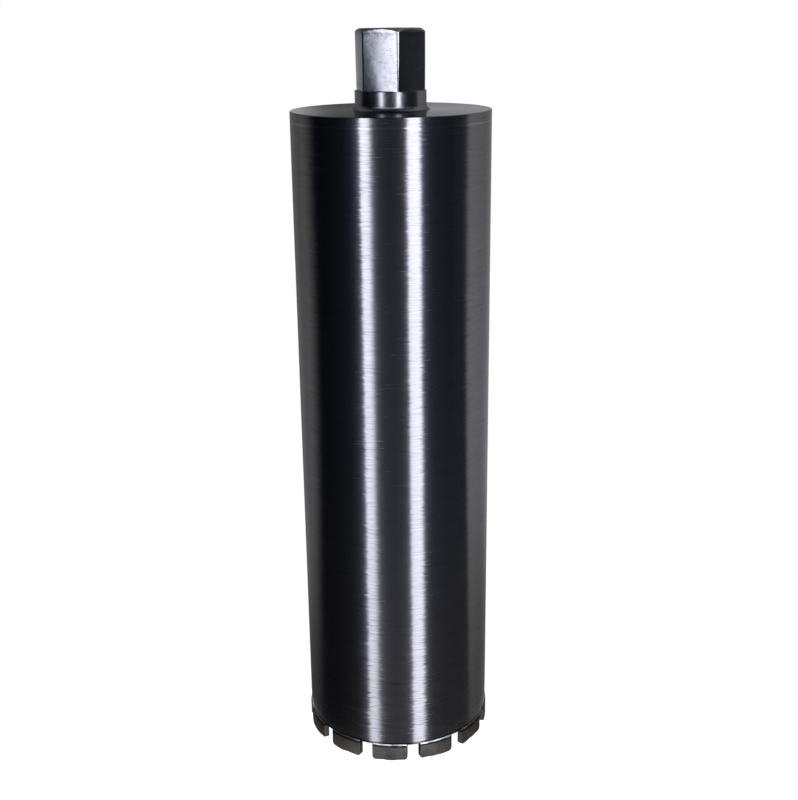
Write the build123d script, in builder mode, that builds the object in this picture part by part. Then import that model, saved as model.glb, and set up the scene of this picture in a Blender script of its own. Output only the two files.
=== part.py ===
from build123d import *

import os
from math import asin, cos, degrees, radians, sqrt, tan

# A wet diamond core bit: a thin steel barrel with a crown of sintered diamond segments brazed
# to its lower end, and an end cap that carries a hexagon hub with a female spindle thread.
#
# The bit stands on its crown. The origin is the centre of the circle of segment tips, +Z runs
# up the axis to the hub, and the water slots between the segments are centred on X and Y.
# Sizes are in millimetres and angles in degrees, counted from +X.

# ---- driving dimensions -------------------------------------------------------------------

overall_length = 445.0          # segment tips to the top face of the end cap
crown_diameter = 132.0          # over the segments: the hole that the bit cuts

tube_wall = 2.25
outer_relief = 0.75             # the segments stand out past the barrel by this much
inner_relief = 0.5              # and stand in past its bore by this much

segment_count = 12
segment_length = 25.0           # straight across, between the segment's parallel ends
segment_height = 12.0
segment_corner_radius = 2.4     # the lower corners are rounded in use

braze_film = 0.2                # solder between a segment and the end of the barrel
braze_fillet_height = 1.15      # how far the solder climbs the barrel's wall
braze_bulge = 0.12              # the solder's skin stands out from a straight fillet

cap_rim_height = 6.5            # the part of the cap that is flush with the barrel
cap_spigot_height = 3.5         # the part that plugs into the barrel
cap_edge_break = 0.4
cap_fit = 0.05                  # radial clearance of the cap's spigot in the barrel

seam_groove = 0.55              # bevel of the groove for the weld between cap and barrel

thread_major_diameter = 31.75   # 1-1/4 inch, 7 threads to the inch
thread_pitch = 25.4 / 7
thread_mouth = 0.6              # the countersink's rim stands this far out from the thread

hub_height = 50.0
hub_wall_at_flats = 4.625       # thread to flat, which makes a 41 mm spanner size
hub_corner_cut = 0.5            # turned off the hexagon's sharp corners, on the radius
hub_clocking = 33.0             # angle of one corner of the hexagon, as welded on
hub_face_inset = 0.9            # the flat ring on top ends this far inside the flats
hub_chamfer_angle = 30.0        # down from the top face to the corners
collar_height = 12.0            # the round foot that the milling of the flats leaves
hub_shoulder = 4.25             # width of the collar's seat on the cap
hub_spigot_fit = 0.05           # radial clearance of the hub's spigot in the cap

weld_width = 2.6                # the weld round the hub's foot
weld_height = 3.0
weld_hollow = 0.45              # its face curves in by this much

# ---- sizes that follow --------------------------------------------------------------------

crown_radius = crown_diameter / 2
tube_radius = crown_radius - outer_relief
tube_bore_radius = tube_radius - tube_wall
crown_bore_radius = tube_bore_radius - inner_relief

tube_bottom = segment_height + braze_film
seam_level = overall_length - cap_rim_height

cap_spigot_radius = tube_bore_radius - cap_fit
cap_bottom = seam_level - cap_spigot_height

thread_minor_radius = thread_major_diameter / 2 - thread_pitch * sqrt(3) / 2 * 5 / 8
thread_mouth_radius = thread_major_diameter / 2 + thread_mouth

flat_radius = thread_major_diameter / 2 + hub_wall_at_flats
hexagon_radius = flat_radius / cos(radians(30))
collar_radius = hexagon_radius - hub_corner_cut
hub_face_radius = flat_radius - hub_face_inset
hub_chamfer_width = collar_radius - hub_face_radius
hub_chamfer_height = hub_chamfer_width * tan(radians(hub_chamfer_angle))
hub_top = overall_length + hub_height
hub_spigot_radius = collar_radius - hub_shoulder

segment_pitch = 360 / segment_count
braze_arc = 2 * degrees(asin(segment_length / 2 / crown_radius))


def segment_angle(index):
    """The angle of a segment's middle: half a pitch from the water slot on +X."""
    return (index + 0.5) * segment_pitch


def radial_plane(angle):
    """The upright plane through the axis, with local x outwards and local y upwards."""
    return Plane.XZ.rotated((0, 0, angle))


# ---- barrel -------------------------------------------------------------------------------

with BuildPart() as barrel_tube:
    with BuildSketch(Plane.XY.offset(tube_bottom)):
        Circle(tube_radius)
        Circle(tube_bore_radius, mode=Mode.SUBTRACT)
    extrude(amount=seam_level - tube_bottom)
    top_edges = barrel_tube.faces().sort_by(Axis.Z)[-1].edges()
    chamfer(top_edges.sort_by(SortBy.RADIUS)[-1], length=seam_groove)

# ---- end cap ------------------------------------------------------------------------------

with BuildPart() as end_cap:
    with BuildSketch(Plane.XY.offset(seam_level)):
        Circle(tube_radius)
    extrude(amount=cap_rim_height)
    rim_top = end_cap.faces().sort_by(Axis.Z)[-1].edges()
    rim_bottom = end_cap.faces().sort_by(Axis.Z)[0].edges()
    chamfer(rim_bottom, length=seam_groove)
    chamfer(rim_top, length=cap_edge_break)
    with BuildSketch(Plane.XY.offset(seam_level)):
        Circle(cap_spigot_radius)
    extrude(amount=-cap_spigot_height)
    spigot_end = end_cap.faces().sort_by(Axis.Z)[0].edges()
    chamfer(spigot_end, length=cap_edge_break)
    with Locations((0, 0, overall_length)):
        Hole(hub_spigot_radius + hub_spigot_fit)

# The weld that fills the groove between the cap and the barrel, ground flush with both.
with BuildPart() as seam_weld:
    with BuildSketch(Plane.XZ):
        with BuildLine():
            Polyline(
                (tube_radius, seam_level - seam_groove),
                (tube_radius, seam_level + seam_groove),
                (tube_radius - seam_groove, seam_level),
                close=True,
            )
        make_face()
    revolve(axis=Axis.Z)

# ---- hub ----------------------------------------------------------------------------------

with BuildPart() as hub:
    # A turned bar, chamfered at the top, with a spigot that passes through the cap.
    with BuildSketch(Plane.XZ):
        with BuildLine():
            Polyline(
                (0, cap_bottom),
                (hub_spigot_radius, cap_bottom),
                (hub_spigot_radius, overall_length),
                (collar_radius, overall_length),
                (collar_radius, hub_top - hub_chamfer_height),
                (hub_face_radius, hub_top),
                (0, hub_top),
                close=True,
            )
        make_face()
    revolve(axis=Axis.Z)
    # Six flats, milled down to the collar.
    with BuildSketch(Plane.XY.offset(overall_length + collar_height)):
        Circle(hexagon_radius)
        RegularPolygon(radius=hexagon_radius, side_count=6, rotation=hub_clocking, mode=Mode.SUBTRACT)
    extrude(amount=hub_height - collar_height, mode=Mode.SUBTRACT)
    # The threaded hole, at the thread's minor diameter, which is also the way for the water.
    with Locations((0, 0, hub_top)):
        CounterSinkHole(
            radius=thread_minor_radius,
            counter_sink_radius=thread_mouth_radius,
            counter_sink_angle=90,
        )

# The weld round the foot of the hub, with a hollow face.
with BuildPart() as hub_weld:
    with BuildSketch(Plane.XZ):
        with BuildLine():
            Polyline(
                (collar_radius, overall_length + weld_height),
                (collar_radius, overall_length),
                (collar_radius + weld_width, overall_length),
            )
            SagittaArc(
                (collar_radius + weld_width, overall_length),
                (collar_radius, overall_length + weld_height),
                weld_hollow,
            )
        make_face()
    revolve(axis=Axis.Z)

# ---- crown --------------------------------------------------------------------------------


def make_segment(index):
    """A sintered segment: a piece of a ring with parallel ends and rounded lower corners."""
    with BuildPart() as segment:
        with BuildSketch(Plane.XY.rotated((0, 0, segment_angle(index)))):
            Circle(crown_radius)
            Circle(crown_bore_radius, mode=Mode.SUBTRACT)
            Rectangle(
                crown_radius,
                segment_length,
                align=(Align.MIN, Align.CENTER),
                mode=Mode.INTERSECT,
            )
        extrude(amount=segment_height)
        tip_ends = segment.faces().sort_by(Axis.Z)[0].edges().filter_by(GeomType.LINE)
        fillet(tip_ends, radius=segment_corner_radius)
    return segment.part


def make_braze(index):
    """The silver solder of one segment: a film under the barrel's end and a fillet on each side."""
    start = segment_angle(index) - braze_arc / 2
    outer_toe = (crown_radius, segment_height)
    outer_top = (tube_radius, segment_height + braze_fillet_height)
    inner_top = (tube_bore_radius, segment_height + braze_fillet_height)
    inner_toe = (crown_bore_radius, segment_height)
    with BuildPart() as braze:
        with BuildSketch(radial_plane(start)):
            with BuildLine():
                SagittaArc(outer_toe, outer_top, -braze_bulge)
                Polyline(
                    outer_top,
                    (tube_radius, tube_bottom),
                    (tube_bore_radius, tube_bottom),
                    inner_top,
                )
                SagittaArc(inner_top, inner_toe, -braze_bulge)
                Line(inner_toe, outer_toe)
            make_face()
        revolve(axis=Axis.Z, revolution_arc=braze_arc)
    return braze.part


# ---- write each piece ---------------------------------------------------------------------

os.makedirs("parts", exist_ok=True)

barrel_tube.part.label = "barrel_tube"
export_step(barrel_tube.part, "parts/barrel_tube.step")

end_cap.part.label = "end_cap"
export_step(end_cap.part, "parts/end_cap.step")

seam_weld.part.label = "seam_weld"
export_step(seam_weld.part, "parts/seam_weld.step")

hub.part.label = "hub"
export_step(hub.part, "parts/hub.step")

hub_weld.part.label = "hub_weld"
export_step(hub_weld.part, "parts/hub_weld.step")

for index in range(segment_count):
    number = f"{index + 1:02d}"

    segment_part = make_segment(index)
    segment_part.label = f"segment_{number}"
    export_step(segment_part, f"parts/segment_{number}.step")

    braze_part = make_braze(index)
    braze_part.label = f"segment_braze_{number}"
    export_step(braze_part, f"parts/segment_braze_{number}.step")
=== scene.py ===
import math

import bmesh
import bpy
import numpy as np
from mathutils import Matrix, Vector, noise


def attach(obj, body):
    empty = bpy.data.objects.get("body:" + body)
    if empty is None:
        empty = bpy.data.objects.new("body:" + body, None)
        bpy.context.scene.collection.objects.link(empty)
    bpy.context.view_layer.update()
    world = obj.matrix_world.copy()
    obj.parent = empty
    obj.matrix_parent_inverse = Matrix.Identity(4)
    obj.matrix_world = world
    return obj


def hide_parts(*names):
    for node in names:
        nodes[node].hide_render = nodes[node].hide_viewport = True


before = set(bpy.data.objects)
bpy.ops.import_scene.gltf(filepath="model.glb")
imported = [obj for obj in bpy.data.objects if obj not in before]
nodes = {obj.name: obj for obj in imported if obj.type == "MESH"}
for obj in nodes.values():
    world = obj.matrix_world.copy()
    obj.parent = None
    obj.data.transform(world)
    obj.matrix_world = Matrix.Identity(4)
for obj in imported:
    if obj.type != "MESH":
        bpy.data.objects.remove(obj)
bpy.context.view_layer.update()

# ---- sizes, in metres, as in the CAD source ------------------------------------------------

CROWN_R = 0.066
TUBE_R = 0.06525
TUBE_BORE_R = 0.063
CROWN_BORE_R = 0.0625
SEGMENTS = 12
SEGMENT_LENGTH = 0.025
SEGMENT_HEIGHT = 0.012
CORNER_R = 0.0024
TUBE_BOTTOM = 0.0122
FILLET_TOP = 0.01315
CAP_TOP = 0.445
CAP_BOTTOM = 0.435
HUB_TOP = 0.495
FLAT_R = 0.0205
HEXAGON_R = FLAT_R / math.cos(math.radians(30))
COLLAR_R = HEXAGON_R - 0.0005
COLLAR_TOP = CAP_TOP + 0.012
HUB_CLOCKING = 33.0
HUB_FACE_R = FLAT_R - 0.0009
SPIGOT_R = COLLAR_R - 0.00425
THREAD_MAJOR_R = 0.015875
THREAD_PITCH = 0.0254 / 7
THREAD_MINOR_R = THREAD_MAJOR_R - THREAD_PITCH * math.sqrt(3) / 2 * 5 / 8
THREAD_MOUTH_R = THREAD_MAJOR_R + 0.0006
WELD_WIDTH = 0.0026
WELD_HEIGHT = 0.0030

# ---- camera --------------------------------------------------------------------------------

CAMERA_TURN = -9.13  # where the camera stands, in degrees from -Y towards +X
CAMERA_PLACE = (-0.12364724, -0.76937572, 0.50271688)
CAMERA_FORWARD = Vector((0.15456359, 0.93770524, -0.31115749))
CAMERA_UP = Vector((0.0622089, 0.30508034, 0.95029261))
CAMERA_LENS = 52.927


def add_camera():
    data = bpy.data.cameras.new("camera")
    data.lens = CAMERA_LENS
    data.clip_start, data.clip_end = 0.01, 50
    camera = bpy.data.objects.new("camera", data)
    bpy.context.scene.collection.objects.link(camera)
    right = CAMERA_FORWARD.cross(CAMERA_UP)
    turned = Matrix((right, CAMERA_UP, -CAMERA_FORWARD)).transposed().to_4x4()
    camera.matrix_world = Matrix.Translation(CAMERA_PLACE) @ turned
    bpy.context.scene.camera = camera


add_camera()

# ---- node helpers --------------------------------------------------------------------------


class Tree:
    """Short names for building a material's nodes."""

    def __init__(self, name):
        self.material = bpy.data.materials.new(name)
        self.material.use_nodes = True
        self.tree = self.material.node_tree
        self.tree.nodes.clear()
        self.out = self.tree.nodes.new("ShaderNodeOutputMaterial")

    def node(self, kind, inputs=None, **settings):
        made = self.tree.nodes.new(kind)
        for key, value in settings.items():
            setattr(made, key, value)
        for key, value in (inputs or {}).items():
            self.put(value, made.inputs[key])
        return made

    def put(self, value, socket):
        """Links a node's output to the socket, or writes a plain value into it."""
        if isinstance(value, bpy.types.NodeSocket):
            self.tree.links.new(value, socket)
        else:
            socket.default_value = value

    # Values

    def math(self, operation, a, b=0.0, c=0.0):
        return self.node("ShaderNodeMath", {0: a, 1: b, 2: c}, operation=operation).outputs[0]

    def add(self, a, b):
        return self.math("ADD", a, b)

    def minus(self, a, b):
        return self.math("SUBTRACT", a, b)

    def times(self, a, *others):
        for other in others:
            a = self.math("MULTIPLY", a, other)
        return a

    def times_add(self, a, b, c):
        return self.math("MULTIPLY_ADD", a, b, c)

    def noise(self, vector, scale, detail, rough):
        inputs = {"Vector": vector, "Scale": scale, "Detail": detail, "Roughness": rough}
        return self.node("ShaderNodeTexNoise", inputs).outputs["Fac"]

    def ramp(self, value, low, high, to_low=0.0, to_high=1.0, smooth=False):
        """Takes low to to_low and high to to_high, and holds the value beyond them."""
        inputs = {
            "Value": value,
            "From Min": low,
            "From Max": high,
            "To Min": to_low,
            "To Max": to_high,
        }
        kind = "SMOOTHSTEP" if smooth else "LINEAR"
        return self.node("ShaderNodeMapRange", inputs, interpolation_type=kind).outputs["Result"]

    def noise_to(self, fac, to_low=0.0, to_high=1.0):
        """Takes a noise's usual range, 0.3 to 0.7, to those two values."""
        return self.ramp(fac, 0.3, 0.7, to_low, to_high)

    def mix(self, factor, a, b):
        made = self.node("ShaderNodeMix", {"Factor": factor}, data_type="RGBA")
        self.put(a, made.inputs[6])
        self.put(b, made.inputs[7])
        return made.outputs[2]

    # Vectors

    def vector_math(self, operation, a, b=(0.0, 0.0, 0.0)):
        return self.node("ShaderNodeVectorMath", {0: a, 1: b}, operation=operation).outputs[0]

    def coords(self):
        return self.node("ShaderNodeTexCoord").outputs["Object"]

    def xyz(self, vector):
        return self.node("ShaderNodeSeparateXYZ", {0: vector}).outputs

    def join(self, x, y, z):
        return self.node("ShaderNodeCombineXYZ", {0: x, 1: y, 2: z}).outputs[0]

    def stretched(self, along, across, shift=0.0):
        """Object coordinates scaled by one number in X and Y, and by another in Z."""
        x, y, z = self.xyz(self.coords())
        z = self.add(z, shift)
        return self.join(self.times(x, along), self.times(y, along), self.times(z, across))

    def hairlines(self, along, across, warp, warp_scale, rough=0.6):
        """A noise drawn out into rings round the axis, which wander up and down by warp."""
        wander = self.noise(self.coords(), warp_scale, 1.0, 0.5)
        shift = self.times_add(wander, warp, -warp / 2)
        return self.noise(self.stretched(along, across, shift), 1.0, 2.0, rough)

    def radius(self):
        """Distance from the axis."""
        x, y, _ = self.xyz(self.coords())
        return self.math("SQRT", self.add(self.times(x, x), self.times(y, y)))

    # Surfaces

    def bump(self, height, distance):
        inputs = {"Height": height, "Distance": distance, "Strength": 1.0}
        return self.node("ShaderNodeBump", inputs).outputs["Normal"]

    def scratched(self, normal, lines, amount):
        """Leans each hairline a little to one side round the axis; a few lean much further."""
        x, y, _ = self.xyz(self.coords())
        round_axis = self.vector_math("NORMALIZE", self.join(self.times(y, -1.0), x, 0.0))
        lean = self.times_add(lines, 2.0, -1.0)
        far = self.times_add(self.times(lean, lean), 3.0, 0.4)
        lean = self.times(lean, far, amount)
        aside = self.node("ShaderNodeVectorMath", {0: round_axis, 3: lean}, operation="SCALE")
        return self.vector_math("NORMALIZE", self.vector_math("ADD", normal, aside.outputs[0]))

    def emission(self, colour, strength):
        inputs = {"Color": colour, "Strength": strength}
        return self.node("ShaderNodeEmission", inputs).outputs[0]

    def both(self, a, b):
        return self.node("ShaderNodeAddShader", {0: a, 1: b}).outputs[0]

    def surface(self, shader):
        self.tree.links.new(shader, self.out.inputs["Surface"])
        return self.material

    def principled(self, **inputs):
        shader = self.node("ShaderNodeBsdfPrincipled")
        for key, value in inputs.items():
            self.put(value, shader.inputs[key.replace("_", " ")])
        return self.surface(shader.outputs[0])


# ---- materials -----------------------------------------------------------------------------

LACQUER = (1.0, 0.99, 1.0)  # the dark lacquer that every steel piece is dipped in
LACQUER_EDGE = (0.5, 0.5, 0.52, 1.0)  # it stays dark at a glancing angle
BARE_STEEL = (0.42, 0.42, 0.42, 1.0)
DARKENED_SHARE = 0.25  # the share of the colour that is left where it is darkened


def lacquer_tone(value):
    red, green, blue = LACQUER
    return (value * red, value * green, value * blue, 1.0)


def lacquer(m, value, tone, spread, dark, bare=None, **inputs):
    """Dark, lacquered steel, darkened where dark is 1 and with bare metal where bare is 1."""
    colour = m.mix(tone, lacquer_tone(value * (1 - spread)), lacquer_tone(value * (1 + spread)))
    if dark is not None:
        colour = m.mix(dark, colour, lacquer_tone(value * DARKENED_SHARE))
    if bare is not None:
        colour = m.mix(bare, colour, BARE_STEEL)
    return m.principled(Base_Color=colour, Metallic=1.0, Specular_Tint=LACQUER_EDGE, **inputs)


# Heights on the barrel: it is darker below the first two, and over each of the other pairs the
# hairlines grow fainter towards the top.
BARREL_FOOT_DARK = (0.01430, 0.01385)
STAIN_FADE = (0.03, 0.14)
LEAN_FADE = (0.02, 0.16)


def barrel_finish(name, value=0.1, top=False):
    """Hairlines that run round the barrel, left by its grinding, under the lacquer."""
    m = Tree(name)
    at = m.coords()
    z = m.xyz(at)[2]
    fine = m.hairlines(60, 2400, 0.0010, 30)
    coarse = m.hairlines(60, 1250, 0.0026, 22)
    leaning = m.hairlines(80, 1150, 0.0014, 22, rough=0.65)
    stained = m.hairlines(45, 1500, 0.0016, 24)
    tone = m.hairlines(30, 900, 0.004, 9)

    rough = m.add(m.noise_to(fine, 0.15, 0.23), m.times(m.ramp(coarse, 0.50, 0.70), 0.07))
    height = m.add(m.times(fine, 0.03), m.times(coarse, 0.02))
    height = m.add(height, m.noise(at, 38.0, 2.0, 0.5))
    if top:
        # The cap's top face is turned: it is smoother, in fine rings about the axis.
        facing = m.node("ShaderNodeNewGeometry").outputs["True Normal"]
        upward = m.ramp(m.xyz(facing)[2], 0.6, 0.9)
        sideways = m.minus(1.0, upward)
        rings = m.noise(m.join(m.times(m.radius(), 2400), 0.0, 0.0), 1.0, 2.0, 0.6)
        rough = m.add(m.times(rough, sideways), m.times(m.noise_to(rings, 0.08, 0.13), upward))
        height = m.times(height, m.minus(1.0, m.times(upward, 0.9)))
        leaning = m.times_add(sideways, m.minus(leaning, 0.5), 0.5)

    hairline_stain = m.ramp(stained, 0.45, 0.33, 0.0, m.ramp(z, *STAIN_FADE, 0.62, 0.28))
    lean = m.ramp(z, *LEAN_FADE, 0.085, 0.040)
    return lacquer(
        m,
        value=value,
        tone=m.noise_to(tone),
        spread=0.06,
        # Darker in a band at the barrel's foot, just above the solder, and along some of the
        # hairlines.
        dark=m.math("MAXIMUM", m.ramp(z, *BARREL_FOOT_DARK, 0.0, 0.9), hairline_stain),
        Roughness=rough,
        Anisotropic=1.0,
        Anisotropic_Rotation=0.25,
        Tangent=m.node("ShaderNodeTangent", direction_type="RADIAL", axis="Z").outputs[0],
        Normal=m.scratched(m.bump(height, 0.00010), leaning, lean),
    )


# Heights on the hub: where each kind of finish or wear starts, and where it is full.
ON_FLATS = (COLLAR_TOP, COLLAR_TOP + 0.002)
ON_COLLAR = (COLLAR_TOP + 0.0001, COLLAR_TOP - 0.0003)
SCUFFS = (HUB_TOP - 0.009, HUB_TOP - 0.004)
MOTTLING = (HUB_TOP - 0.0055, HUB_TOP - 0.0030)
RUBBING = (HUB_TOP - 0.0028, HUB_TOP - 0.0016)


def hub_finish(name):
    """Milled flats: faint cutter marks, scuffs and mottles near the top, and a rubbed chamfer."""
    m = Tree(name)
    at = m.coords()
    z = m.xyz(at)[2]
    on_flats = m.ramp(z, *ON_FLATS)
    patches = m.ramp(m.noise(at, 110.0, 2.0, 0.5), 0.42, 0.60)
    marks = m.noise(m.stretched(520, 1700), 1.0, 2.0, 0.6)
    dashes = m.times(m.ramp(marks, 0.54, 0.63, 0.0, 0.40), patches, on_flats)
    mottles = m.ramp(m.noise(at, 380.0, 3.0, 0.6), 0.42, 0.62, 0.0, 0.55)
    mottles = m.times(mottles, on_flats, m.ramp(z, *MOTTLING))
    rubbed = m.ramp(m.noise(at, 330.0, 3.0, 0.6), 0.38, 0.60, 0.25, 1.0)
    rubbed = m.times(m.ramp(z, *RUBBING), rubbed)
    scuffs = m.times(m.noise(at, 600.0, 3.0, 0.7), m.times(m.ramp(z, *SCUFFS), on_flats))
    height = m.add(m.times(scuffs, 0.30), m.noise(at, 60.0, 1.0, 0.4))
    rough = m.noise_to(m.noise(at, 420.0, 3.0, 0.6), 0.12, 0.19)
    return lacquer(
        m,
        value=0.108,
        tone=m.noise_to(m.noise(at, 230.0, 3.0, 0.6)),
        spread=0.10,
        dark=m.math("MAXIMUM", dashes, mottles),
        bare=m.times(rubbed, 0.40),
        Roughness=m.add(rough, m.ramp(z, *ON_COLLAR, 0.0, 0.06)),
        Normal=m.bump(height, 0.00012),
    )


def weld_finish(name):
    """A weld bead under the lacquer, with the fine grain of its skin."""
    m = Tree(name)
    at = m.coords()
    return lacquer(
        m,
        value=0.115,
        tone=m.noise_to(m.noise(at, 300.0, 3.0, 0.6)),
        spread=0.12,
        dark=None,
        Roughness=m.noise_to(m.noise(at, 500.0, 2.0, 0.5), 0.26, 0.38),
        Normal=m.bump(m.noise(at, 900.0, 3.0, 0.6), 0.00003),
    )


MATRIX_DARK = (0.046, 0.041, 0.037, 1)
MATRIX_LIGHT = (0.071, 0.065, 0.060, 1)
MATRIX_GRAIN = (0.095, 0.092, 0.087, 1)
MATRIX_RUBBED = (0.11, 0.107, 0.102, 1)
MATRIX_TOP_DARK = (0.010, 0.009, 0.008, 1)

# Heights on a segment: where the darker band under the solder and the rub at the tips start, and
# where each of them is full.
SEGMENT_TOP_DARK = (0.0102, 0.0109)
SEGMENT_RUB = (0.0016, 0.0)


def matrix_finish(name):
    """Sintered metal: brownish grey, gritty, darker in a band along its top under the solder, and
    with a rubbed lower edge.
    """
    m = Tree(name)
    at = m.coords()
    z = m.xyz(at)[2]
    grit = m.noise(at, 1500.0, 3.0, 0.65)
    patches = m.ramp(m.noise(at, 130.0, 3.0, 0.6), 0.36, 0.66)
    top_dark_amount = m.ramp(m.noise(at, 260.0, 2.0, 0.5), 0.3, 0.6, 0.6, 1.0)
    rubbed = m.ramp(m.noise(at, 400.0, 2.0, 0.5), 0.35, 0.65)
    rubbed = m.times(m.ramp(z, *SEGMENT_RUB, smooth=True), rubbed)
    colour = m.mix(patches, MATRIX_DARK, MATRIX_LIGHT)
    colour = m.mix(m.ramp(grit, 0.56, 0.72), colour, MATRIX_GRAIN)
    # Darker in a band along the segment's top, under the solder.
    colour = m.mix(m.times(m.ramp(z, *SEGMENT_TOP_DARK), top_dark_amount), colour, MATRIX_TOP_DARK)
    colour = m.mix(m.times(rubbed, 0.5), colour, MATRIX_RUBBED)
    return m.principled(
        Base_Color=colour,
        Metallic=1.0,
        Specular_Tint=(0.36, 0.34, 0.32, 1.0),
        Roughness=m.noise_to(grit, 0.52, 0.40),
        Normal=m.bump(grit, 0.00008),
    )


SOLDER_SILVER_HIGHLIGHT = (0.74, 0.73, 0.70, 1)
SOLDER_DARK_AND_SHADE = (0.026, 0.022, 0.019, 1)

# Heights on the solder: dark at the first of each pair, and bright at the second.
SOLDER_FOOT = (0.01206, 0.01218)
SOLDER_HEAD = (0.01300, 0.01284)
SOLDER_WOBBLE = 0.0007  # how far those heights wander
SOLDER_HIGHLIGHT_Y = (0.061, 0.050)  # in Y, both ways: bright beyond the first, and within the second painted dark as painted shade on the segments that don't face ±Y


def braze_finish(name):
    """Silver solder, bright along the middle of its fillet and dark at both edges. The bright line
    is kept only on the segments facing ±Y, as a painted highlight, and elsewhere the solder is
    painted dark as painted shade.
    """
    m = Tree(name)
    at = m.coords()
    _, y, z = m.xyz(at)
    wobble = m.times_add(m.noise(at, 320.0, 2.0, 0.5), SOLDER_WOBBLE, -SOLDER_WOBBLE / 2)
    level = m.add(z, wobble)
    # The bright silver band is a painted highlight that shows only on the segments facing ±Y. On
    # the other segments the solder is painted dark as painted shade, and it is dark at both edges
    # of the fillet.
    highlight_band = m.times(
        m.ramp(level, *SOLDER_FOOT),
        m.ramp(level, *SOLDER_HEAD),
        m.ramp(m.noise(at, 150.0, 2.0, 0.5), 0.36, 0.58, 0.40, 1.0),
        m.ramp(m.math("ABSOLUTE", y), *SOLDER_HIGHLIGHT_Y, 1.0, 0.06),
    )
    lumps = m.noise(at, 900.0, 2.0, 0.5)
    return m.principled(
        Base_Color=m.mix(highlight_band, SOLDER_DARK_AND_SHADE, SOLDER_SILVER_HIGHLIGHT),
        Metallic=m.ramp(highlight_band, 0.0, 1.0, 0.3, 1.0),
        Specular_Tint=(0.30, 0.29, 0.28, 1.0),
        Roughness=m.noise_to(lumps, 0.36, 0.5),
        Normal=m.bump(lumps, 0.00005),
    )


MATERIALS = {
    "barrel": barrel_finish("barrel lacquer"),
    "cap": barrel_finish("cap lacquer", top=True),
    "seam": barrel_finish("seam lacquer", value=0.14),
    "hub": hub_finish("hub lacquer"),
    "weld": weld_finish("weld lacquer"),
    "matrix": matrix_finish("segment matrix"),
    "braze": braze_finish("silver solder"),
}

for name, key in (("barrel_tube", "barrel"), ("end_cap", "cap"), ("seam_weld", "seam")):
    nodes[name].data.materials.clear()
    nodes[name].data.materials.append(MATERIALS[key])

# ---- pieces --------------------------------------------------------------------------------


def add_piece(name, points, faces, material, replaced, crease):
    """Makes a smooth-shaded piece that is sharp where it turns by more than crease degrees."""
    mesh = bpy.data.meshes.new(name)
    mesh.from_pydata([tuple(p) for p in points], [], faces)
    bm = bmesh.new()
    bm.from_mesh(mesh)
    bmesh.ops.remove_doubles(bm, verts=bm.verts, dist=2e-7)
    bmesh.ops.recalc_face_normals(bm, faces=bm.faces)
    bm.to_mesh(mesh)
    bm.free()
    for polygon in mesh.polygons:
        polygon.use_smooth = True
    mesh.set_sharp_from_angle(angle=math.radians(crease))
    obj = bpy.data.objects.new(name, mesh)
    bpy.context.scene.collection.objects.link(obj)
    mesh.materials.append(MATERIALS[material])
    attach(obj, "root")
    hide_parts(replaced)


def on_circle(angle, radius, z):
    return (radius * math.cos(angle), radius * math.sin(angle), z)


def skin(columns, closed):
    """The points of a row of closed profiles, and the quads between each one and the next."""
    count, rows = len(columns), len(columns[0])
    points = [p for column in columns for p in column]
    faces = []
    for i in range(count if closed else count - 1):
        here, there = i * rows, (i + 1) % count * rows
        for j in range(rows):
            after = (j + 1) % rows
            faces.append((here + j, here + after, there + after, there + j))
    return points, faces


def unit_noise(at):
    """A smooth noise, from about 0 to 1, at a point."""
    return 0.5 + 0.5 * noise.noise(at)


ROUNDING_STEPS = 4


def rounded(points, radii):
    """A profile with its corners turned into curves, each with the same number of points."""
    out = []
    last = len(points) - 1
    for i, (p, r) in enumerate(zip(points, radii)):
        if r == 0 or i in (0, last):
            out.append(p)
            continue
        p = Vector(p)
        before, after = Vector(points[i - 1]) - p, Vector(points[i + 1]) - p
        r = min(r, 0.45 * before.length, 0.45 * after.length)
        a, b = p + before.normalized() * r, p + after.normalized() * r
        for step in range(ROUNDING_STEPS + 1):
            t = step / ROUNDING_STEPS
            q = a * (1 - t) ** 2 + p * (2 * t * (1 - t)) + b * t**2
            out.append((q.x, q.y))
    return out


def softer_of(a, b, width):
    """The smaller of two sizes, with the corner between them rounded."""
    h = max(0.0, min(1.0, 0.5 + (b - a) / (2 * width)))
    return b + (a - b) * h - width * h * (1 - h)


# The hub

HALF_FLAT = 0.0108  # from a flat's middle to the turned corner
FLAT_CROWN = 0.000105  # how far a flat falls away on both sides
FLAT_TILT = 0.0088  # the slope of each flat, milled a little out of square
FLAT_WEAR = 0.00045  # rubbed off at one lower corner of each flat
TURNED_R = COLLAR_R - 0.00001
CORNER_SOFTNESS = 0.00006


def hexagon_radius_at(angle, height=1.0):
    """How far the milled bar reaches at that angle, and at that part of the flats' height.

    The flats are crowned by a tenth of a millimetre, and rubbed down at one lower corner.
    """
    off = (math.degrees(angle) - HUB_CLOCKING) % 60 - 30
    aside = FLAT_R * math.tan(math.radians(off))
    fall = FLAT_CROWN * (aside / HALF_FLAT) ** 2 + FLAT_TILT * aside
    worn = max(0.0, -0.75 * aside / HALF_FLAT + 0.9 * (1.0 - height) - 0.75)
    fall += FLAT_WEAR * worn**2
    flat = (FLAT_R - fall) / math.cos(math.radians(off))
    return softer_of(flat, TURNED_R, CORNER_SOFTNESS)


# The hub's columns, in degrees: evenly over a flat, and closer where it meets the turned corner.
FLAT_LINES = [k * 2.2 for k in range(-12, 13)]
CORNER_LINES = (-1.1, -0.7, -0.45, -0.25, -0.1, 0.05, 0.25, 0.6, 1.2)


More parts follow.
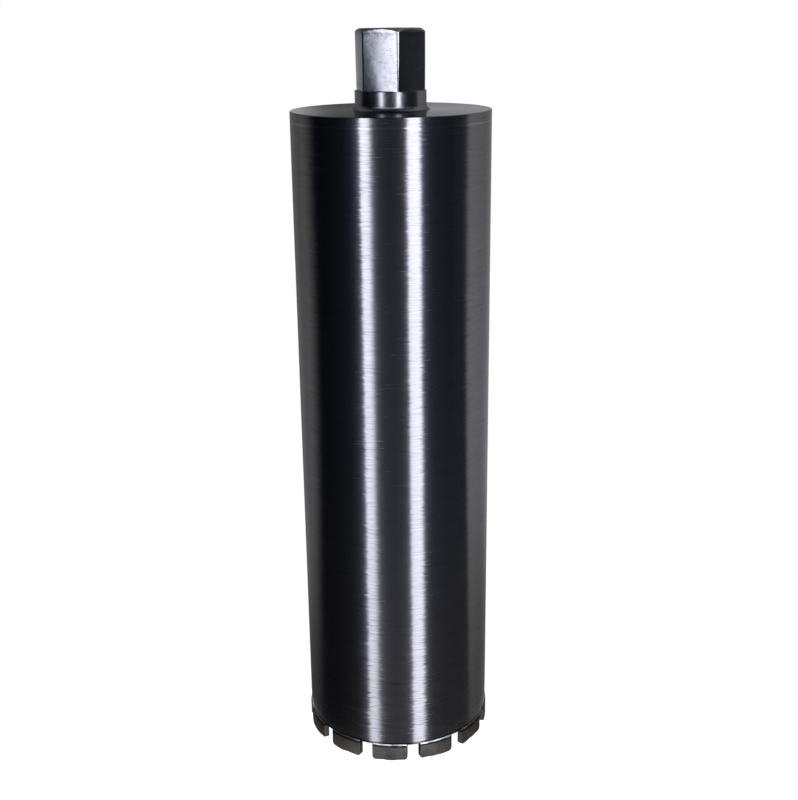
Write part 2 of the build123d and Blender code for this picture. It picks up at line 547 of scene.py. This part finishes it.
def hub_angles():
    land = math.degrees(math.acos(FLAT_R / COLLAR_R))
    offs = {round(line, 4) for line in FLAT_LINES}
    offs |= {round(side * (land + line), 4) for side in (-1, 1) for line in CORNER_LINES}
    offs = sorted(offs | {30.0})
    return [math.radians(HUB_CLOCKING + 30 + 60 * side + off) for side in range(6) for off in offs]


FLAT_ROWS = 14
CHAMFER_SLOPE = math.tan(math.radians(30))
LOWER_MOUTH_R = THREAD_MAJOR_R + 0.0003


def hub_profile(angle):
    """The hub's outside at that angle, from the spigot's lower end up to the thread's mouth."""
    r = hexagon_radius_at(angle)
    chamfer_foot = HUB_TOP - (r - HUB_FACE_R) * CHAMFER_SLOPE
    profile = [
        (LOWER_MOUTH_R, CAP_BOTTOM),
        (SPIGOT_R, CAP_BOTTOM),
        (SPIGOT_R, CAP_TOP),
        (COLLAR_R, CAP_TOP),
        (COLLAR_R, COLLAR_TOP),
        (hexagon_radius_at(angle, 0.0), COLLAR_TOP),
    ]
    radii = [0, 0.0004, 0, 0, 0.00025, 0.0005]
    for k in range(1, FLAT_ROWS):
        z = COLLAR_TOP + (chamfer_foot - COLLAR_TOP) * k / FLAT_ROWS
        profile.append((hexagon_radius_at(angle, k / FLAT_ROWS), z))
        radii.append(0)
    profile += [(r, chamfer_foot), (HUB_FACE_R, HUB_TOP), (THREAD_MOUTH_R, HUB_TOP)]
    radii += [0.00022, 0.0003, 0]
    return rounded(profile, radii)


# The thread's rows, as shares of its pitch. An eighth of it is flat at the major radius and a
# quarter at the minor one, with the flanks between them.
THREAD_PHASES = (0.0, 0.0625, 0.14, 0.22, 0.30, 0.375, 0.5, 0.625, 0.70, 0.78, 0.86, 0.9375)


def thread_radius(phase):
    depth = max(0.0, min(1.0, (abs(phase - 0.5) - 0.125) / 0.3125))
    return THREAD_MINOR_R + (THREAD_MAJOR_R - THREAD_MINOR_R) * depth


def thread_profile(angle, start):
    """The thread at that angle: its rows follow the helix, and end against both end faces."""
    profile = []
    for turn in range(math.ceil((HUB_TOP - CAP_BOTTOM) / THREAD_PITCH) + 1):
        for phase in THREAD_PHASES:
            z = HUB_TOP + THREAD_PITCH * ((angle - start) / (2 * math.pi) - turn - phase)
            z = max(CAP_BOTTOM, min(HUB_TOP, z))
            upper_mouth = THREAD_MOUTH_R - (HUB_TOP - z)
            lower_mouth = LOWER_MOUTH_R - (z - CAP_BOTTOM)
            profile.append((max(thread_radius(phase), upper_mouth, lower_mouth), z))
    return profile


def make_hub():
    angles = hub_angles()
    points, faces = [], []

    def put_column(angle, profile):
        first = len(points)
        points.extend(on_circle(angle, r, z) for r, z in profile)
        return range(first, len(points))

    outer = [put_column(angle, hub_profile(angle)) for angle in angles]
    inner = [put_column(angle, thread_profile(angle, angles[0])) for angle in angles]
    count = len(angles)
    for i in range(count):
        here, there = outer[i], outer[(i + 1) % count]
        for j in range(len(here) - 1):
            faces.append((here[j], here[j + 1], there[j + 1], there[j]))
        # Once round, the helix has moved on by one pitch, so the rows meet one pitch back.
        here, there = inner[i], inner[(i + 1) % count]
        back = len(THREAD_PHASES) if i == count - 1 else 0
        for j in range(len(here) - 1):
            upper, lower = there[max(0, j - back)], there[max(0, j + 1 - back)]
            faces.append((here[j], here[j + 1], lower, upper))
    add_piece("hub_body", points, faces, "hub", "hub", crease=28.0)


# The weld round its foot

WELD_COLUMNS, WELD_ROWS = 240, 12
WELD_BACK_R = COLLAR_R - 0.0002
WELD_FOOT = CAP_TOP + 0.00001
WELD_BACK_FOOT = CAP_TOP + 0.00002
WELD_UNEVEN_WIDTH, WELD_UNEVEN_HEIGHT = 0.00025, 0.00020
WELD_HOLLOW = 0.00050
WELD_RIPPLES, WELD_RIPPLE_DEPTH = 74, 0.00004


def make_hub_weld():
    """A hollow weld bead, a little uneven, with the fine ripples of its passes."""
    columns = []
    for i in range(WELD_COLUMNS):
        a = 2 * math.pi * i / WELD_COLUMNS
        at = Vector((math.cos(a), math.sin(a), 0.0))
        wide = WELD_WIDTH - WELD_UNEVEN_WIDTH * unit_noise(at * 3.1)
        high = WELD_HEIGHT - WELD_UNEVEN_HEIGHT * unit_noise(at * 2.3 + Vector((5, 0, 0)))
        ripple = WELD_RIPPLE_DEPTH * math.cos(a * WELD_RIPPLES + 1.2 * noise.noise(at * 4.0))
        profile = [(WELD_BACK_R, WELD_BACK_FOOT), (WELD_BACK_R, CAP_TOP + high)]
        for k in range(WELD_ROWS + 1):
            t = k / WELD_ROWS
            hollow = (WELD_HOLLOW + ripple) * 4 * t * (1 - t)
            r = COLLAR_R + wide * t - hollow * 0.75
            profile.append((r, CAP_TOP + high * (1 - t) - hollow * 0.65))
        profile[-1] = (COLLAR_R + wide, WELD_FOOT)
        columns.append([on_circle(a, r, max(z, WELD_FOOT)) for r, z in profile])
    points, faces = skin(columns, closed=True)
    add_piece("hub_weld_bead", points, faces, "weld", "hub_weld", crease=60.0)


# The segments

SOFT_EDGE = 0.0003


def grid_lines(length, step):
    """Even lines along a side, with closer ones where its edges are rounded."""
    ends = [0.0, 0.2 * SOFT_EDGE, 0.5 * SOFT_EDGE, SOFT_EDGE]
    inside = max(1, round((length - 2 * SOFT_EDGE) / step))
    middle = [SOFT_EDGE + (length - 2 * SOFT_EDGE) * k / inside for k in range(1, inside)]
    return np.array(ends + middle + [length - e for e in reversed(ends)])


def box_shell(us, vs, ws):
    """The lattice points on a box's six faces, and the quads between them."""
    index, points, faces = {}, [], []
    nu, nv, nw = len(us) - 1, len(vs) - 1, len(ws) - 1

    def put(i, j, k):
        if (i, j, k) not in index:
            index[i, j, k] = len(points)
            points.append((us[i], vs[j], ws[k]))
        return index[i, j, k]

    for i in range(nu):
        for j in range(nv):
            for k in (0, nw):
                near = put(i, j, k), put(i + 1, j, k)
                faces.append((*near, put(i + 1, j + 1, k), put(i, j + 1, k)))
        for k in range(nw):
            for j in (0, nv):
                near = put(i, j, k), put(i + 1, j, k)
                faces.append((*near, put(i + 1, j, k + 1), put(i, j, k + 1)))
    for j in range(nv):
        for k in range(nw):
            for i in (0, nu):
                near = put(i, j, k), put(i, j + 1, k)
                faces.append((*near, put(i, j + 1, k + 1), put(i, j, k + 1)))
    return np.array(points), faces


SEGMENT_BOX = (SEGMENT_LENGTH, CROWN_R - CROWN_BORE_R, SEGMENT_HEIGHT)
SEGMENT_STEP = 0.00055
SEGMENT_LATTICE = box_shell(*(grid_lines(size, SEGMENT_STEP) for size in SEGMENT_BOX))
WEAR_DEPTH = 0.0018  # times the part of a noise above WEAR_FROM
WEAR_FROM = 0.38
WEAR_ALONG, WEAR_ACROSS = 150, 60
GRIT_DEPTH, GRIT_SCALE = 0.00003, 1300
DENT_DEPTH, DENT_SCALE = 0.00006, 260
DENT_FROM = 0.15
TINY = 1e-12


def segment_turn(index):
    """The angle of a segment's middle: half a pitch from the water slot on +X."""
    return math.radians((index + 0.5) * 360 / SEGMENTS)


def make_segment(index):
    lattice, faces = SEGMENT_LATTICE
    size = np.array(SEGMENT_BOX)
    core = np.clip(lattice, SOFT_EDGE, size - SOFT_EDGE)
    away = lattice - core
    reach = np.maximum(np.linalg.norm(away, axis=1, keepdims=True), TINY)
    p = core + SOFT_EDGE * away / reach
    # The lower corners: a square's corner is drawn in to a quarter of a disc.
    u, v, w = p[:, 0] - size[0] / 2, p[:, 1], p[:, 2]
    cu = np.clip(u, CORNER_R - size[0] / 2, size[0] / 2 - CORNER_R)
    cw = np.maximum(w, CORNER_R)
    du, dw = u - cu, w - cw
    reach = np.maximum(np.hypot(du, dw), TINY)
    draw = np.where((du != 0) & (dw != 0), np.maximum(abs(du), abs(dw)) / reach, 1.0)
    u, w = cu + du * draw, cw + dw * draw
    # Wear: the cutting edge is left uneven, and the faces are gritty.
    seed = Vector((7.3 * index, 1.7 * index, 0.0))
    spots = [Vector((a * WEAR_ALONG, b * WEAR_ACROSS, 0)) for a, b in zip(u, v)]
    worn = np.array([unit_noise(spot + seed) for spot in spots])
    worn = np.maximum(0.0, worn - WEAR_FROM) * WEAR_DEPTH
    w = w + worn * (1 - w / SEGMENT_HEIGHT) ** 2
    places = [Vector(place) for place in zip(u, v, w)]
    grit = np.array([unit_noise(place * GRIT_SCALE + seed) for place in places])
    dents = np.array([noise.noise(place * DENT_SCALE + seed) for place in places])
    depth = GRIT_DEPTH * grit + DENT_DEPTH * np.maximum(0.0, dents - DENT_FROM)
    v = v - np.clip((v / size[1] - 0.5) * 4, -1, 1) * depth
    # Bend the box round the axis, its ends staying parallel.
    r = CROWN_BORE_R + v
    ahead = np.sqrt(r * r - u * u)
    turn = segment_turn(index)
    x = ahead * math.cos(turn) - u * math.sin(turn)
    y = ahead * math.sin(turn) + u * math.cos(turn)
    points = np.stack((x, y, w), axis=1)
    name = f"segment_{index + 1:02d}"
    add_piece(f"{name}_matrix", points, faces, "matrix", name, crease=50.0)


# Their solder

BRAZE_COLUMNS, BRAZE_ROWS = 90, 6
BRAZE_FADE = 0.09  # the share of each half over which the fillet sinks towards its end
BRAZE_LAP = 0.00003  # the solder's back lies this far inside the barrel's wall
BRAZE_BULGE, BRAZE_UNEVEN_BULGE = 0.00009, 0.00004
BRAZE_UNEVEN_FOOT = 0.00016


def braze_fillet(seed, along, side, toe, wall):
    """The solder's skin on one side of the joint, from the segment's edge up to the wall."""
    fade = min(1.0, (1 - abs(along)) / BRAZE_FADE)
    fade = fade * (2 - fade)
    at = Vector((along * 5, side * 3, 0)) + seed
    rise = 0.55 + 0.45 * unit_noise(at * 1.1) + 0.10 * noise.noise(at * 5)
    rise = min(1.0, rise * (0.35 + 0.65 * fade)) * (FILLET_TOP - SEGMENT_HEIGHT)
    foot = toe - side * BRAZE_UNEVEN_FOOT * unit_noise(at * 2 + Vector((0, 4, 0)))
    back = wall - side * BRAZE_LAP
    bulge = BRAZE_BULGE + BRAZE_UNEVEN_BULGE * noise.noise(at * 3)
    line = []
    for k in range(BRAZE_ROWS + 1):
        t = k / BRAZE_ROWS
        swell = bulge * 4 * t * (1 - t)
        line.append((foot + (back - foot) * t + side * swell, SEGMENT_HEIGHT + rise * t + swell))
    return line


def make_braze(index):
    """The solder round a segment's joint: a film, and on each side a fillet of uneven height."""
    seed = Vector((3.1 * index, 9.4 * index, 0.0))
    half = math.asin(SEGMENT_LENGTH / 2 / CROWN_R)
    film = [(TUBE_R - BRAZE_LAP, TUBE_BOTTOM), (TUBE_BORE_R + BRAZE_LAP, TUBE_BOTTOM)]
    columns = []
    for i in range(BRAZE_COLUMNS + 1):
        along = -1 + 2 * i / BRAZE_COLUMNS
        outer = braze_fillet(seed, along, 1, CROWN_R, TUBE_R)
        inner = braze_fillet(seed, along, -1, CROWN_BORE_R, TUBE_BORE_R)
        turn = segment_turn(index) + half * along
        columns.append([on_circle(turn, r, z) for r, z in outer + film + inner[::-1]])
    points, faces = skin(columns, closed=False)
    rows = len(columns[0])
    faces += [tuple(range(rows)), tuple(range(len(points) - rows, len(points)))]
    name = f"segment_braze_{index + 1:02d}"
    add_piece(f"{name}_solder", points, faces, "braze", name, crease=50.0)


make_hub()
make_hub_weld()
for index in range(SEGMENTS):
    make_segment(index)
    make_braze(index)

# ---- studio --------------------------------------------------------------------------------

WHITE = (1, 1, 1, 1)
WORLD_LIGHT = 0.32


def background_rays(tree):
    """1 for the rays that see the background: from the camera, and from metal and glass."""
    path = tree.nodes.new("ShaderNodeLightPath")
    total = path.outputs["Is Camera Ray"]
    for ray in ("Is Glossy Ray", "Is Transmission Ray"):
        larger = tree.nodes.new("ShaderNodeMath")
        larger.operation = "MAXIMUM"
        tree.links.new(total, larger.inputs[0])
        tree.links.new(path.outputs[ray], larger.inputs[1])
        total = larger.outputs[0]
    return total


def add_world():
    world = bpy.data.worlds.new("studio")
    bpy.context.scene.world = world
    world.use_nodes = True
    tree = world.node_tree
    background = tree.nodes["Background"]
    background.inputs["Color"].default_value = WHITE
    strength = tree.nodes.new("ShaderNodeMath")
    strength.operation = "MULTIPLY_ADD"
    tree.links.new(background_rays(tree), strength.inputs[0])
    strength.inputs[1].default_value = 1.0 - WORLD_LIGHT
    strength.inputs[2].default_value = WORLD_LIGHT
    tree.links.new(strength.outputs[0], background.inputs["Strength"])
    world.cycles.sampling_method = "NONE"


def ring_point(turn, distance, z):
    """A point at that turn from the camera's own side, counted towards the right of the view."""
    a = math.radians(turn + CAMERA_TURN)
    return Vector((distance * math.sin(a), -distance * math.cos(a), z))


TABLE_R = 0.075
TABLE_TOP = -0.00005


def add_table():
    """A small white floor under the bit."""
    bpy.ops.mesh.primitive_circle_add(
        vertices=128, radius=TABLE_R, fill_type="NGON", location=(0, 0, TABLE_TOP)
    )
    table = bpy.context.object
    table.name = "table"
    m = Tree("table top")
    diffuse = m.node("ShaderNodeBsdfDiffuse", {"Color": (0.8, 0.8, 0.8, 1)}).outputs[0]
    lift = m.emission(WHITE, background_rays(m.tree))
    table.data.materials.append(m.surface(m.both(diffuse, lift)))


WALL_DISTANCE = 1.6
WALL_MIDDLE = 0.3
WALL_STEPS, WALL_ROWS = 120, 60

# Each strip light's two edges, as the turn at the top, the turn at the foot and the softness,
# all in degrees. Then its strengths at the top and at the foot.
LEFT_STRIP = ((-34.9, -36.8, 0.8), (-23.9, -24.6, 2.2), (10.2, 5.8))
RIGHT_STRIP = ((17.3, 18.9, 1.0), (32.3, 33.4, 1.0), (10.8, 7.3))
# The light that spills round each strip: its turns at the top and the foot, strength and width.
LEFT_GLOW = (-33.0, -34.5, 1.5, 4.0)
RIGHT_GLOW = (29.0, 30.0, 1.3, 4.4)

STRIP_COLOUR = (0.95, 0.965, 1.08, 1)
VEIL_LOW, VEIL_HIGH = (0.98, 0.95, 1.06, 1), (0.75, 0.90, 1.33, 1)
WALL_COLOUR = (1.0, 1.0, 0.985, 1)
FLOOR_COLOUR = (1.14, 1.05, 0.82, 1)
FLOOR_SHARE = 0.22  # how much of the wall's light the floor at its foot sends back


def wall_mesh():
    """A ball round the bit, in rows from its foot to its top."""
    points, faces = [], []
    for j in range(WALL_ROWS + 1):
        up = math.radians(-90 + 180 * j / WALL_ROWS)
        z = WALL_MIDDLE + WALL_DISTANCE * math.sin(up)
        for i in range(WALL_STEPS + 1):
            turn = -180 + 360 * i / WALL_STEPS
            points.append(tuple(ring_point(turn, WALL_DISTANCE * math.cos(up), z)))
    for j in range(WALL_ROWS):
        for i in range(WALL_STEPS):
            a = j * (WALL_STEPS + 1) + i
            b = a + WALL_STEPS + 1
            faces.append((a, a + 1, b + 1, b))
    mesh = bpy.data.meshes.new("studio wall")
    mesh.from_pydata(points, [], faces)
    return mesh


def wall_finish():
    """Two strip lights on a dark wall, with white beyond its edges on both sides.

    Turns are in degrees and heights in metres, both as ring_point takes them.
    """
    m = Tree("studio wall")
    x, y, z = m.xyz(m.coords())
    front = math.radians(CAMERA_TURN)
    ahead = m.minus(m.times(x, math.sin(front)), m.times(y, math.cos(front)))
    aside = m.add(m.times(x, math.cos(front)), m.times(y, math.sin(front)))
    turn = m.times(m.math("ARCTAN2", aside, ahead), 180 / math.pi)
    low = m.ramp(z, -0.25, -0.72)
    below_top = m.ramp(z, 1.55, 1.25, smooth=True)

    def past(at, foot_at):
        """Degrees past a line that leans from one turn at the top to another at the foot."""
        return m.minus(turn, m.times_add(low, foot_at - at, at))

    def edge(at, foot_at, soft):
        """0 to 1 across such a line."""
        d = past(at, foot_at)
        span = m.math("SQRT", m.times_add(d, d, soft * soft))
        return m.times_add(m.math("DIVIDE", d, span), 0.5, 0.5)

    def strip(first, second, strengths):
        return m.times(m.minus(edge(*first), edge(*second)), m.ramp(z, 0.3, -0.75, *strengths))

    def glow(at, foot_at, strength, width):
        """The faint light that spills round a strip, on both sides of its middle."""
        d = m.math("DIVIDE", past(at, foot_at), width)
        return m.math("DIVIDE", strength, m.times_add(d, d, 1.0))

    strips = m.times(m.add(strip(*LEFT_STRIP), strip(*RIGHT_STRIP)), below_top)

    # The dark wall's own faint light: more of it between the strips, and more towards its foot.
    middle = m.ramp(m.math("ABSOLUTE", m.add(turn, 2.0)), 45.0, 8.0, 0.0, 0.05, smooth=True)
    veil = m.times(
        m.add(m.ramp(turn, -80.0, 40.0, 0.015, 0.06), middle),
        m.ramp(z, 0.1, -0.75, 1.0, 3.2),
        m.ramp(z, -0.76, -1.0, 1.0, 1.3),
    )
    veil = m.add(veil, m.times(m.add(glow(*LEFT_GLOW), glow(*RIGHT_GLOW)), below_top))
    veil_colour = m.mix(m.ramp(z, -0.72, -0.2), VEIL_LOW, VEIL_HIGH)

    # The white beyond the dark wall's edges, with a brighter slit far behind on the left.
    slit = m.times(
        m.ramp(turn, -176.0, -172.0, smooth=True),
        m.ramp(turn, -167.0, -170.0, smooth=True),
    )
    left = m.times(
        m.ramp(m.times_add(low, 14.0, turn), -93.0, -122.0, smooth=True),
        m.times_add(slit, 0.55, m.ramp(turn, -165.0, -142.0, 0.15, 0.62, smooth=True)),
        m.ramp(z, 0.25, -0.15, 1.05, 1.34),
    )
    right = m.times(
        m.ramp(m.times_add(low, -9.0, turn), 90.0, 99.0, smooth=True),
        m.ramp(turn, 165.0, 138.0, 0.45, 1.05, smooth=True),
        m.ramp(z, 0.25, -0.28, 0.80, 1.22),
    )
    above_floor_left = m.ramp(z, -0.68, -0.48, smooth=True)
    above_floor_right = m.ramp(z, -0.63, -0.36, smooth=True)
    upper = m.times_add(left, above_floor_left, m.times(right, above_floor_right))
    lower = m.minus(m.add(left, right), upper)

    # A faint light just inside the right edge, and a patch that only the hub's flats mirror.
    foreglow = m.times(m.ramp(turn, 70.0, 92.0, 0.0, 0.10), m.ramp(z, -0.35, 0.05))
    beside_hub = m.times(
        m.ramp(z, 0.34, 0.38),
        m.ramp(z, 0.50, 0.46),
        m.ramp(turn, -172.0, -162.0),
        m.ramp(turn, -161.0, -150.0, 1.1, 0.3),
        m.ramp(turn, -120.0, -135.0),
    )

    dark_side = m.both(m.emission(STRIP_COLOUR, strips), m.emission(veil_colour, veil))
    pale_side = m.both(
        m.emission(WALL_COLOUR, m.add(upper, m.add(foreglow, beside_hub))),
        m.emission(FLOOR_COLOUR, m.times(lower, FLOOR_SHARE)),
    )
    material = m.surface(m.both(dark_side, pale_side))
    material.cycles.emission_sampling = "NONE"
    return material


def add_wall():
    """The studio as the metal sees it. It shows in reflections only."""
    mesh = wall_mesh()
    wall = bpy.data.objects.new("studio_wall", mesh)
    bpy.context.scene.collection.objects.link(wall)
    mesh.materials.append(wall_finish())
    wall.visible_camera = wall.visible_diffuse = False
    wall.visible_transmission = wall.visible_shadow = False


LAMP_TURN, LAMP_DISTANCE, LAMP_HEIGHT = -4, 1.4, 0.8
LAMP_SIZE = 1.0
LAMP_RADIANCE = 2.6


def add_lamp():
    """A soft light from the front, for everything but reflections."""
    data = bpy.data.lights.new("soft front", "AREA")
    data.shape = "RECTANGLE"
    data.size, data.size_y = LAMP_SIZE, LAMP_SIZE
    data.energy = LAMP_RADIANCE * math.pi * LAMP_SIZE**2
    data.color = (1, 1, 1)
    lamp = bpy.data.objects.new("soft front", data)
    bpy.context.scene.collection.objects.link(lamp)
    lamp.location = ring_point(LAMP_TURN, LAMP_DISTANCE, LAMP_HEIGHT)
    lamp.rotation_euler = (math.radians(90), 0, math.radians(LAMP_TURN + CAMERA_TURN))
    lamp.visible_camera = lamp.visible_glossy = False


add_world()
add_table()
add_wall()
add_lamp()

bpy.context.scene.view_settings.view_transform = "Standard"
